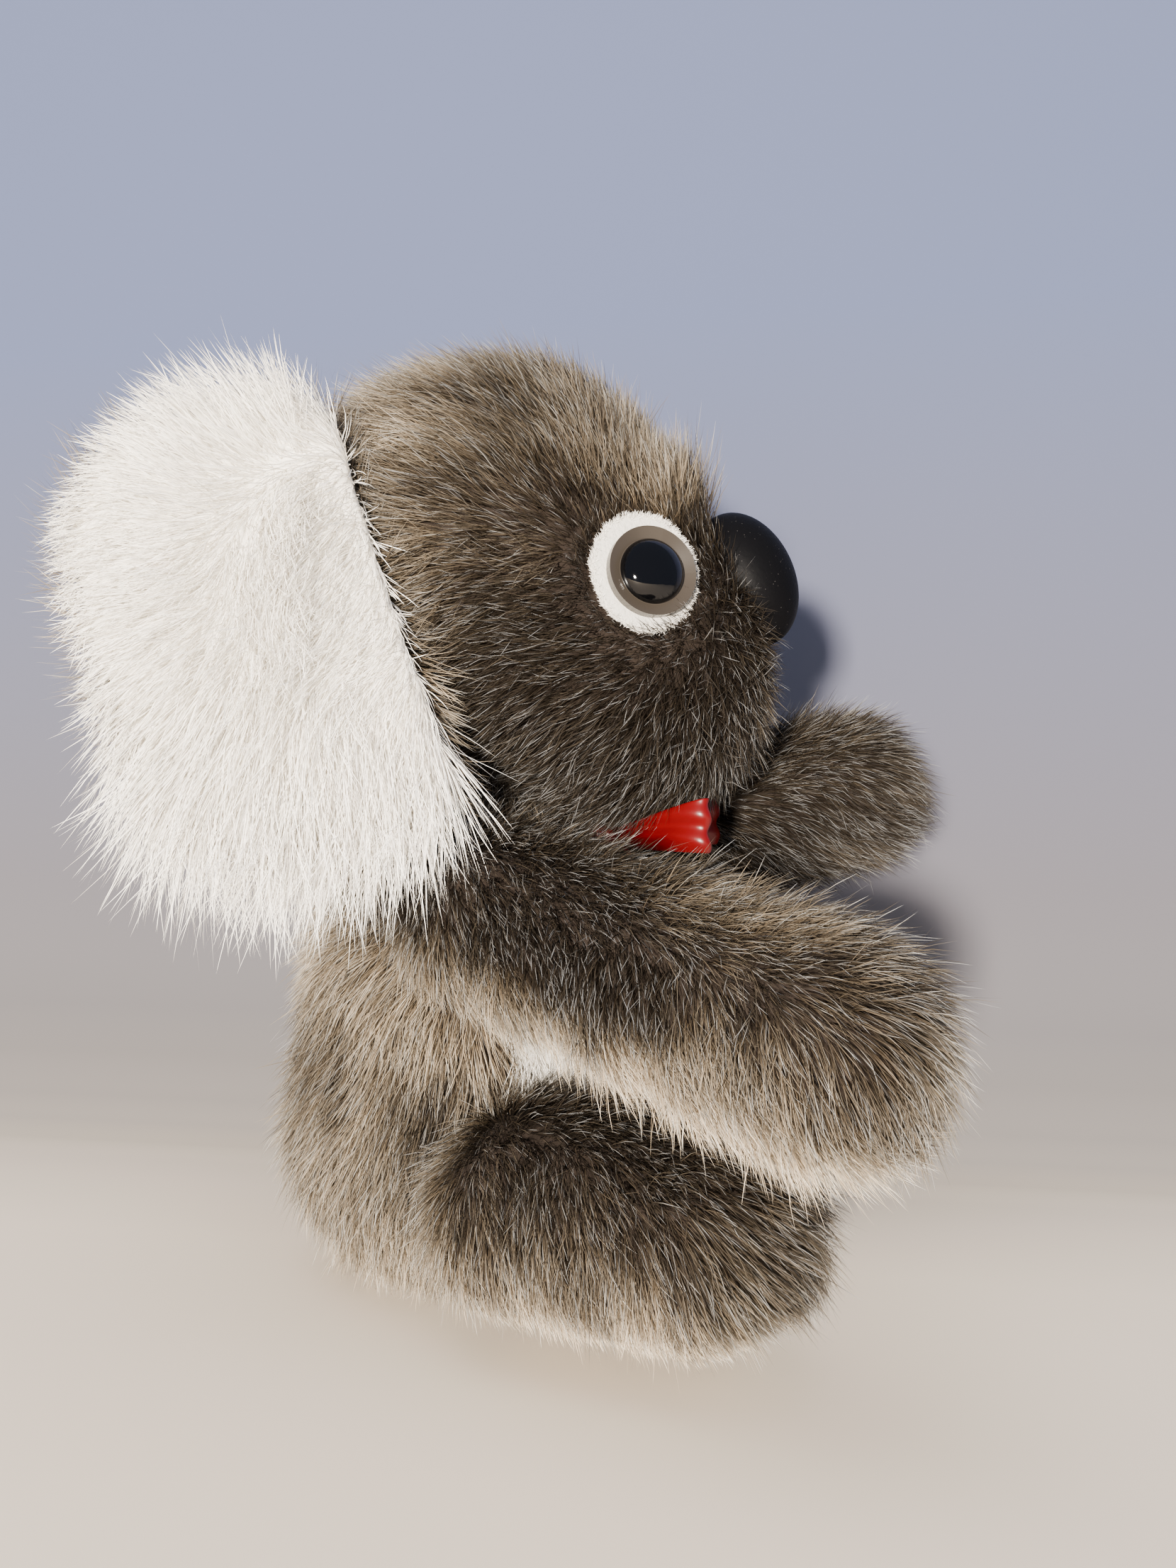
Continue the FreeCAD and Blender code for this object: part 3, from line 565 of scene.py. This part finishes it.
for number, (body, facts) in enumerate(sorted(limbs.items())):
    cover = f"{body}_cover"
    bag = skin(f"{body}_skin", [cover], body, dict(limbLook, seed=60 + number))
    bag.data.materials.append(brownBacking)
    points = solidPoints([cover])
    middle = (points.min(axis=0) + points.max(axis=0)) / 2
    _, _, ways = np.linalg.svd(points - points.mean(axis=0), full_matrices=False)
    along = ways[0] if ways[0][1] < 0 else -ways[0]
    upward = unit(np.array([0, 0, 1]) - along * along[2])
    reach = (points @ along).max() - (points @ along).min()
    radius = ((points @ upward).max() - (points @ upward).min()) / 2
    roots, ups = scatter(bag, facts["pile"]["perSquareMm"], np.random.default_rng(33 + number))
    inner = min(abs(points[:, 0]))
    sewn = np.linalg.norm((roots - joints[body])[:, 1:], axis=1) < radius
    keep = ~((np.abs(roots[:, 0]) < inner + 1.2 * mm) & (np.abs(ups[:, 0]) > 0.7) & sewn)
    roots, ups = roots[keep], ups[keep]
    share = (roots @ along - (points @ along).min() - radius) / (reach - 2 * radius)
    height = ((roots - middle) @ upward) / radius
    tip = np.clip(share - 0.75, 0, 1)[:, None] * 2
    comb = along * facts["along"] * (1 - tip) + np.array([0, 0, -0.5]) + unit(roots - middle) * tip
    tone = limbTone(share, height, facts["patches"])
    tone *= 1 + 0.25 * waves(roots, 9 * mm, 6 + number) + 0.30 * waves(roots, 3.2 * mm, 7 + number)
    stretch = 1 - 0.62 * np.clip(-ups[:, 2] - 0.2, 0, 0.6) / 0.6 * (body.endswith("leg"))
    grow(f"{body}_pile", body, roots, ups, comb, tone, dict(facts["pile"], seed=70 + number), brownStrands,
         "fur", stretch)

# ---------- ears: long white pile in front, short fur behind
earLook = {"grid": 1.1, "soften": 5, "puff": 0.5, "lump": 0.3, "lumpSize": 12, "seed": 16, "fill": 0.3}
earPile = dict(headPile, seed=26, length=9.4, vary=0.15, lift=52, liftVary=12, settle=0.85, stray=0.24,
               tuft=2.4, tuftPull=0.12, sag=0.10, width=0.13, toneVary=0.22, tipped=0.0, perSquareMm=4.6)
earBackPile = dict(headPile, length=7.5, lift=35)
for side, sign in sides.items():
    body = f"{side}_ear"
    pad = skin(f"{body}_skin", [f"{body}_front", f"{body}_back"], body, earLook)
    pad.data.materials.append(brownBacking)
    pad.data.materials.append(whiteBacking)
    front, back = middleOf(f"{body}_front"), middleOf(f"{body}_back")
    face = unit(front - back)
    middle = (front + back) / 2
    for polygon in pad.data.polygons:
        polygon.material_index = int(np.dot(polygon.normal, face) > -0.2)
    roots, ups = scatter(pad, earPile["perSquareMm"], np.random.default_rng(40 + sign))
    isFront = ups @ face > -0.35
    away = roots - middle
    away = away - (away @ face)[:, None] * face
    # the pile parts close to the head and runs back from there
    spread = away + np.array([0, 11, -5]) * mm
    reach = np.linalg.norm(spread, axis=1) / (30 * mm)
    # nearly upright inside, fanning out only towards the edge; short along the seam at the head
    fan = np.clip((reach - 0.5) / 0.45, 0, 1)[:, None]
    hang = np.array([0, 0, -0.55])
    low = np.clip((-away[:, 2] - 6 * mm) / (16 * mm), 0, 1)
    rear = np.clip((away[:, 1] - 8 * mm) / (12 * mm), 0, 1)
    lifted = unit(spread) * fan + face * (1.25 - fan * 0.55) + hang * 0.55
    seam = np.clip((4 * mm - away[:, 1] - 8 * mm) / (12 * mm), 0, 1)
    lifted = lifted + low[:, None] * np.array([0, 0, -0.8])
    lifted = lifted + (seam * (1 - low))[:, None] * (np.array([0, 0.75, -0.45]) * (1 - 0.2 * fan))
    ready = unit(ups + unit(lifted) * 0.9)
    grow(f"{body}_white_pile", body, roots[isFront], ready[isFront], lifted[isFront],
         np.full(isFront.sum(), 0.55), dict(earPile, seed=26 + sign), whiteStrands, "white_fur",
         (1 - 0.40 * seam * (1 - low) - 0.42 * rear * (1 - 0.6 * low) + 0.75 * low)[isFront])
    rear = roots[~isFront]
    backTone = 0.42 + 0.14 * waves(rear, 13 * mm, 8)
    grow(f"{body}_back_pile", body, rear, ups[~isFront], away[~isFront], backTone,
         dict(earBackPile, seed=29 + sign), brownStrands, "fur")
print("pile grown")

# ---------- eyes: a ragged felt ring, a moulded cup and a glossy dome
noseMaterial = plainMaterial("nose_plastic", (0.0025, 0.0025, 0.003), 0.5, 0.05,
                             grain={"scale": 1400, "strength": 0.35, "depth": 0.12, "detail": 4})
flangeMaterial = plainMaterial("cup_plastic", (0.034, 0.028, 0.022), 0.26, 0.45, coat=0.25,
                               grain={"scale": 500, "strength": 0.08, "depth": 0.1})
pupilMaterial = plainMaterial("dome_plastic", (0.0012, 0.0012, 0.0015), 0.045, 0.35, coat=0.25)
feltMaterial = plainMaterial("felt", (0.60, 0.575, 0.52), 0.95, 0.15, sheen=0.4,
                             grain={"scale": 1500, "strength": 0.9, "depth": 0.35, "detail": 5})
hiddenMaterial = plainMaterial("inner_parts", (0.85, 0.85, 0.82), 0.6, 0.4,
                               grain={"scale": 600, "strength": 0.1, "depth": 0.1})


def speckle(material, scale, share, colour):
    # fine pale dust on a dark moulding
    nodes, links = material.node_tree.nodes, material.node_tree.links
    shader = nodes["Principled BSDF"]
    place = nodes.new("ShaderNodeTexCoord")
    cells = nodes.new("ShaderNodeTexVoronoi")
    cells.inputs["Scale"].default_value = scale
    ramp = rampNode(nodes, [(0.0, colour), (share, shader.inputs["Base Color"].default_value[:3])])
    ramp.color_ramp.interpolation = "LINEAR"
    links.new(place.outputs["Object"], cells.inputs["Vector"])
    links.new(cells.outputs["Distance"], ramp.inputs["Fac"])
    links.new(ramp.outputs["Color"], shader.inputs["Base Color"])


speckle(noseMaterial, 1300, 0.12, (0.07, 0.066, 0.062))


def dress(node, material):
    mesh = frame["nodes"][node].data
    mesh.materials.clear()
    mesh.materials.append(material)
    frame["nodes"][node].hide_render = False


def ringMesh(name, centre, out, rings):
    # closed turned piece: each ring is (radius function, height along out)
    up = unit(np.array([0, 0, 1]) - out * out[2])
    right = np.cross(up, out)
    turns = np.linspace(0, 2 * math.pi, 181)[:-1]
    points = []
    for radius, high in rings:
        for angle in turns:
            r = radius(angle) * mm
            points.append(centre + right * r * math.cos(angle) + up * r * math.sin(angle) + out * high * mm)
    steps = len(turns)
    faces = []
    for ring in range(len(rings) - 1):
        for step in range(steps):
            nextStep = (step + 1) % steps
            faces.append((ring * steps + step, ring * steps + nextStep, (ring + 1) * steps + nextStep,
                          (ring + 1) * steps + step))
    faces.append(tuple(reversed(range(steps))))
    faces.append(tuple((len(rings) - 1) * steps + step for step in range(steps)))
    mesh = bpy.data.meshes.new(name)
    mesh.from_pydata([tuple(p) for p in points], [], faces)
    mesh.shade_smooth()
    return mesh


feltLook = {"wide": 8.4, "tall": 9.3, "ragged": 0.2, "thick": 1.0, "nap": 0.9, "hairs": 2600,
            "waves": (3, 7, 17, 26, 41, 63, 77)}
for side, sign in sides.items():
    centre, out = eyes[side]
    source = np.random.default_rng(80 + sign)
    bumps = [(n, source.uniform(0, 6.28), source.uniform(0.4, 1.0) / (1 + n / 40)) for n in feltLook["waves"]]

    def edge(angle, grow=0.0, bumps=bumps):
        wide, tall = feltLook["wide"], feltLook["tall"]
        plain = wide * tall / math.hypot(tall * math.cos(angle), wide * math.sin(angle))
        return plain + grow + feltLook["ragged"] * sum(h * math.sin(n * angle + at) for n, at, h in bumps)

    half = feltLook["thick"] / 2
    rings = [(lambda a: edge(a, -0.35), -half), (lambda a: edge(a, 0.0), -half * 0.3),
             (lambda a: edge(a, 0.03), half * 0.35), (lambda a: edge(a, -0.18), half * 0.85),
             (lambda a: edge(a, -0.55), half), (lambda a: 4.4, half)]
    felt = meshObject(f"{side}_felt_ring", ringMesh(f"{side}_felt_ring", centre, out, rings))
    felt.data.materials.append(feltMaterial)
    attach(felt, "head")
    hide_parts(f"{side}_eye_felt")
    angles = source.uniform(0, 2 * math.pi, feltLook["hairs"])
    up = unit(np.array([0, 0, 1]) - out * out[2])
    right = np.cross(up, out)
    spoke = right * np.cos(angles)[:, None] + up * np.sin(angles)[:, None]
    inward = np.abs(source.normal(size=feltLook["hairs"])) * 0.35 + 0.12
    radius = np.array([edge(a) for a in angles]) - inward
    nap = dict(headPile, seed=90 + sign, length=feltLook["nap"], lift=25, liftVary=30, settle=1.0, stray=0.5,
               swirl=1.0, tuftPull=0, tuftWay=0, sag=0, width=0.07, toneVary=0.2, tipped=0.0)
    grow(f"{side}_felt_nap", "head", centre + spoke * (radius * mm)[:, None] + out * (half * 0.7 * mm),
         np.tile(out, (feltLook["hairs"], 1)), spoke, np.full(feltLook["hairs"], 0.6), nap,
         whiteStrands, "felt")
    dress(f"{side}_eye_flange", flangeMaterial)
    dress(f"{side}_eye_pupil", pupilMaterial)
    dress(f"{side}_eye_washer", hiddenMaterial)
dress("nose", noseMaterial)
dress("nose_washer", hiddenMaterial)
print("face ready")

# ---------- bow: satin ribbon tied in front of the neck
# the ribbon's own deep red, made a little darker as painted shade from the chin over it
satin_painted_shade = plainMaterial("satin_painted_shade", (0.10, 0.0007, 0.0018), 0.34, 0.35, sheen=0.0,
                      grain={"scale": 700, "strength": 0.25, "depth": 0.12, "detail": 2})
satinLook = {"thick": 0.25}


def satinBand(name, body, path, widths, ups, node, crease):
    # a ribbon along a path; each station has a width and the direction across it
    columns = 13
    points, faces = [], []
    for index, (place, width, across) in enumerate(zip(path, widths, ups)):
        ahead = unit(path[min(index + 1, len(path) - 1)] - path[max(index - 1, 0)])
        across = unit(across - ahead * (across @ ahead))
        normal = np.cross(ahead, across)
        for column in range(columns):
            share = column / (columns - 1) - 0.5
            fold = crease * math.cos(share * 4 * math.pi + index * 0.35) * (1 - 4 * share * share * 0.3)
            points.append(place + across * share * width + normal * fold)
    for row in range(len(path) - 1):
        for column in range(columns - 1):
            a = row * columns + column
            faces.append((a, a + 1, a + columns + 1, a + columns))
    mesh = bpy.data.meshes.new(name)
    mesh.from_pydata([tuple(p) for p in points], [], faces)
    mesh.shade_smooth()
    obj = meshObject(name, mesh)
    thick = obj.modifiers.new("cloth", "SOLIDIFY")
    thick.thickness = satinLook["thick"] * mm
    thick.offset = 0
    soft = obj.modifiers.new("soft", "SUBSURF")
    soft.levels = soft.render_levels = 1
    mesh.materials.append(satin_painted_shade)
    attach(obj, body)
    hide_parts(node)
    return obj


knotMiddle = middleOf("bow_knot")
knotLow, knotHigh = boxOf("bow_knot")
knotRadius = (knotHigh[2] - knotLow[2]) / 2
for side, sign in sides.items():
    loopPoints = solidPoints([f"{side}_bow_loop"])
    far = loopPoints[np.argmax(np.linalg.norm(loopPoints - knotMiddle, axis=1))]
    reachOut = far - knotMiddle
    flat = unit(np.cross(reachOut, [0, 0, 1]))
    path, widths = [], []
    for step in range(25):
        t = step / 24
        sweep = t * 2 * math.pi
        along = 0.14 + 0.86 * math.sin(t * math.pi) ** 0.8
        path.append(knotMiddle + reachOut * along + flat * (1.9 * mm * math.sin(sweep)))
        widths.append((3.6 + 5.2 * math.sin(t * math.pi) ** 0.9) * mm)
    satinBand(f"{side}_loop_satin", "torso", np.array(path), widths, [np.array([0, 0, 1])] * 25,
              f"{side}_bow_loop", 0.45 * mm)
    tailPoints = solidPoints([f"{side}_bow_tail"])
    order = np.argsort(tailPoints[:, 2])
    topEnd, lowEnd = tailPoints[order[-4:]].mean(axis=0), tailPoints[order[:4]].mean(axis=0)
    across = unit(np.array([1.0, 0, 0]) - unit(lowEnd - topEnd) * unit(lowEnd - topEnd)[0])
    stations = np.linspace(0, 1, 15)
    path = [topEnd + (lowEnd - topEnd) * t + np.array([0, 0.5 * mm * math.sin(t * 6), 0]) for t in stations]
    path[0] = (knotMiddle + topEnd * 2) / 3
    widths = [(3.0 + 3.6 * min(1, t * 2.4)) * mm for t in stations]
    satinBand(f"{side}_tail_satin", "torso", np.array(path), widths, [across] * len(stations),
              f"{side}_bow_tail", 0.3 * mm)

knotMesh = bmesh.new()
bmesh.ops.create_icosphere(knotMesh, subdivisions=4, radius=1)
for vert in knotMesh.verts:
    x, y, z = vert.co
    pleat = 1 + 0.07 * math.cos(x * 9 + 2 * z) + 0.05 * math.cos(7 * math.atan2(y, z))
    vert.co = Vector((x * 0.92 * pleat, y * 0.85 * pleat, z * (1.0 + 0.12 * x * x))) * knotRadius
    vert.co += Vector(knotMiddle)
mesh = bpy.data.meshes.new("knot_satin")
knotMesh.to_mesh(mesh)
knotMesh.free()
mesh.shade_smooth()
mesh.materials.append(satin_painted_shade)
knot = meshObject("knot_satin", mesh)
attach(knot, "torso")
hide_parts("bow_knot")

# the ribbon round the neck, a little rumpled
bandPoints = solidPoints(["neck_ribbon"])
bandMiddle = (bandPoints.min(axis=0) + bandPoints.max(axis=0)) / 2
top, low = bandPoints[:, 2].max(), bandPoints[:, 2].min()
topReach = np.linalg.norm((bandPoints[bandPoints[:, 2] > top - 0.3 * mm] - bandMiddle)[:, :2], axis=1).max()
lowReach = np.linalg.norm((bandPoints[bandPoints[:, 2] < low + 0.3 * mm] - bandMiddle)[:, :2], axis=1).max()
columns, rows = 160, 9
points = []
for row in range(rows):
    share = row / (rows - 1)
    for column in range(columns):
        angle = column / columns * 2 * math.pi
        rumple = (0.25 * math.sin(angle * 9 + share * 3) + 0.18 * math.sin(angle * 23 + 5 * share)) * mm
        bulge = math.sin(share * math.pi) * 0.9 * mm
        reach = topReach + (lowReach - topReach) * share + rumple + bulge
        points.append((bandMiddle[0] + reach * math.cos(angle), bandMiddle[1] + reach * math.sin(angle),
                       top + (low - top) * share + rumple * 0.6))
faces = [(r * columns + c, r * columns + (c + 1) % columns, (r + 1) * columns + (c + 1) % columns,
          (r + 1) * columns + c) for r in range(rows - 1) for c in range(columns)]
mesh = bpy.data.meshes.new("band_satin")
mesh.from_pydata(points, [], faces)
mesh.shade_smooth()
mesh.materials.append(satin_painted_shade)
band = meshObject("band_satin", mesh)
thick = band.modifiers.new("cloth", "SOLIDIFY")
thick.thickness = satinLook["thick"] * mm
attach(band, "torso")
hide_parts("neck_ribbon")
print("bow ready")

# ---------- neck: fur fabric between the head and the body
neckPile = dict(headPile, seed=28, length=6.0, lift=38, perSquareMm=3.4, sag=0.1)
neckSkin = skin("neck_skin", ["neck_plug"], "neck", {"grid": 1.2, "soften": 2, "lump": 0.2, "lumpSize": 10,
                                                    "seed": 18, "fill": 0.9, "puff": 0.2})
neckSkin.data.materials.append(brownBacking)
roots, ups = scatter(neckSkin, neckPile["perSquareMm"], np.random.default_rng(38))
keep = (roots[:, 2] > top - 2 * mm) & (np.abs(ups[:, 2]) < 0.8)
roots, ups = roots[keep], ups[keep]
grow("neck_pile", "neck", roots, ups, np.tile([0.0, 0.1, -1.0], (len(roots), 1)),
     0.3 + 0.1 * waves(roots, 10 * mm, 9), neckPile, brownStrands, "fur")

# ---------- stitches that close the back, and what lies inside
thread = plainMaterial("thread", (0.05, 0.038, 0.028), 0.7, 0.3,
                       grain={"scale": 2500, "strength": 0.5, "depth": 0.1})
filling = plainMaterial("filling", (0.85, 0.85, 0.83), 0.95, 0.1,
                        grain={"scale": 300, "strength": 0.8, "depth": 0.8})
dress("back_stitches", thread)
for node in frame["nodes"]:
    if node.endswith("_stuffing"):
        dress(node, filling)

# ---------- stage
# painted light and shade on the paper: its colour goes by height, and a little by how far back; bright and warm on
# the floor where light pools, darker and bluer up the sweep as painted shade
stageLook = {"back": 0.088, "front": -0.6, "half": 0.9, "bend": 0.05, "tall": 0.7, "slope": 0.03,
             "reach": 0.2, "paper_painted_light": (0.103, 0.100, 0.115), "stops": [
                 (0.0, (0.90, 0.77, 0.61)), (0.0057, (0.70, 0.61, 0.50)), (0.0108, (0.40, 0.355, 0.30)),
                 (0.023, (0.265, 0.243, 0.22)), (0.043, (0.193, 0.179, 0.168)), (0.084, (0.14, 0.131, 0.129)),
                 (0.137, (0.114, 0.109, 0.114)), (0.3, (0.103, 0.100, 0.115)), (1.0, (0.080, 0.098, 0.172))]}


def sweepMesh():
    profile = [(stageLook["front"], 0.0), (stageLook["back"] - stageLook["bend"], 0.0)]
    for step in range(1, 9):
        angle = step / 8 * math.pi / 2
        profile.append((stageLook["back"] - stageLook["bend"] * (1 - math.sin(angle)),
                        stageLook["bend"] * (1 - math.cos(angle))))
    profile.append((stageLook["back"], stageLook["tall"]))
    points = [(x, y, z) for x, z in profile for y in (-stageLook["half"], stageLook["half"])]
    faces = [(2 * i, 2 * i + 1, 2 * i + 3, 2 * i + 2) for i in range(len(profile) - 1)]
    mesh = bpy.data.meshes.new("backdrop")
    mesh.from_pydata(points, [], faces)
    mesh.shade_smooth()
    return mesh


backdrop = meshObject("backdrop", sweepMesh())
paper_painted_light = plainMaterial("paper_painted_light", stageLook["paper_painted_light"], 0.9, 0.1)
paperNodes, paperLinks = paper_painted_light.node_tree.nodes, paper_painted_light.node_tree.links
place = paperNodes.new("ShaderNodeTexCoord")
split = paperNodes.new("ShaderNodeSeparateXYZ")
slope = paperNodes.new("ShaderNodeMath")
slope.operation = "MULTIPLY_ADD"
slope.inputs[1].default_value = stageLook["slope"]
level = paperNodes.new("ShaderNodeMapRange")
level.inputs["From Max"].default_value = stageLook["reach"]
# painted light and shade: the stops run from a lit warm floor to a shaded bluish top
ramp = rampNode(paperNodes, stageLook["stops"])
paperLinks.new(place.outputs["Object"], split.inputs["Vector"])
paperLinks.new(split.outputs["X"], slope.inputs[0])
paperLinks.new(split.outputs["Z"], slope.inputs[2])
paperLinks.new(slope.outputs["Value"], level.inputs["Value"])
paperLinks.new(level.outputs["Result"], ramp.inputs["Fac"])
paperLinks.new(ramp.outputs["Color"], paperNodes["Principled BSDF"].inputs["Base Color"])
backdrop.data.materials.append(paper_painted_light)

cameraLook = {"distance": 203 * mm, "aim": (0, -17 * mm, 82 * mm), "yaw": 9, "lens": 27.03}
yaw = math.radians(cameraLook["yaw"])
ahead = Vector((math.cos(yaw), math.sin(yaw), 0))
cameraData = bpy.data.cameras.new("camera")
cameraData.lens = cameraLook["lens"]
cameraData.sensor_width = 36
cameraData.clip_start = 0.01
camera = bpy.data.objects.new("camera", cameraData)
bpy.context.scene.collection.objects.link(camera)
camera.location = Vector(cameraLook["aim"]) - ahead * cameraLook["distance"]
camera.rotation_euler = ahead.to_track_quat("-Z", "Y").to_euler()
bpy.context.scene.camera = camera


def areaLight(name, place, target, size, power, colour, glints=False):
    data = bpy.data.lights.new(name, "AREA")
    data.size = size
    data.energy = power
    data.color = colour
    light = bpy.data.objects.new(name, data)
    light.location = place
    light.visible_glossy = glints
    light.rotation_euler = (Vector(target) - Vector(place)).to_track_quat("-Z", "Y").to_euler()
    bpy.context.scene.collection.objects.link(light)


middle = Vector((0, -0.01, 0.08))
areaLight("key", (-1.15, 0.10, 0.12), middle, 0.10, 75.0, (1.0, 0.90, 0.78), glints=True)
areaLight("fill", (-0.5, -0.6, 0.5), middle, 0.6, 2.0, (0.70, 0.82, 1.0))
areaLight("top", (-0.1, 0.1, 0.9), middle, 0.8, 6.0, (0.97, 0.96, 1.0))
world = bpy.data.worlds.new("world")
world.use_nodes = True
world.node_tree.nodes["Background"].inputs["Color"].default_value = (0.55, 0.68, 1.0, 1)
world.node_tree.nodes["Background"].inputs["Strength"].default_value = 0.28
bpy.context.scene.world = world

print("scene ready")
